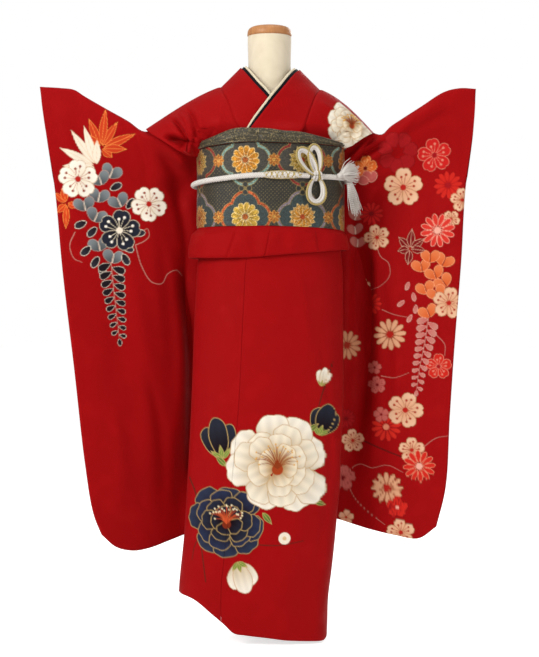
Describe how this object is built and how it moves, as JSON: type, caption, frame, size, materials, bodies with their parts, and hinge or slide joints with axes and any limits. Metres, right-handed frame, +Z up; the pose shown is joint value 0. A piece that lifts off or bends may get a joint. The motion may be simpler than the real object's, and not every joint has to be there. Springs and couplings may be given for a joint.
{
  "type": "furisode kimono on a dress form",
  "caption": "Long-sleeved red silk kimono, wrapped left over right under a brocade obi with its scarf and braided cord, on a limbless padded form that stands on a plate.",
  "frame": {"origin": "on the underside of the base plate, on the floor below the middle of the neck", "axes": "+X towards the wearer's left, -Y towards the front, +Z up"},
  "size_m": [1.048, 0.3355, 1.464],
  "materials": {
    "silk_red": "figured silk crepe with a soft sheen",
    "silk_black": "plain silk",
    "silk_cream": "plain silk",
    "brocade": "stiff brocade with metallic thread",
    "scarf": "soft silk with glitter thread",
    "braid": "braided silk",
    "form_cloth": "matt cotton stretched over padding",
    "wood": "clear satin varnish",
    "enamel": "satin enamel"
  },
  "bodies": {
    "root": {"form_torso": "form_cloth", "form_cap": "wood", "form_pole": "enamel", "form_base": "enamel", "skirt_over_okumi": "silk_red", "skirt_over_front": "silk_red", "skirt_back_left": "silk_red", "skirt_back_right": "silk_red", "skirt_under_front": "silk_red", "skirt_under_okumi": "silk_red", "ohashori": "silk_red", "body_left": "silk_red", "body_right": "silk_red", "collar": "silk_red", "date_eri_black": "silk_black", "date_eri_cream": "silk_cream", "sleeve_left_front": "silk_red", "sleeve_left_back": "silk_red", "sleeve_right_front": "silk_red", "sleeve_right_back": "silk_red", "obi_band": "brocade", "obiage": "scarf", "obi_drum": "brocade", "obi_hand": "brocade", "obi_tail": "brocade", "obijime": "braid", "tassel_upper": "braid", "tassel_lower": "braid"}
  },
  "joints": []
}
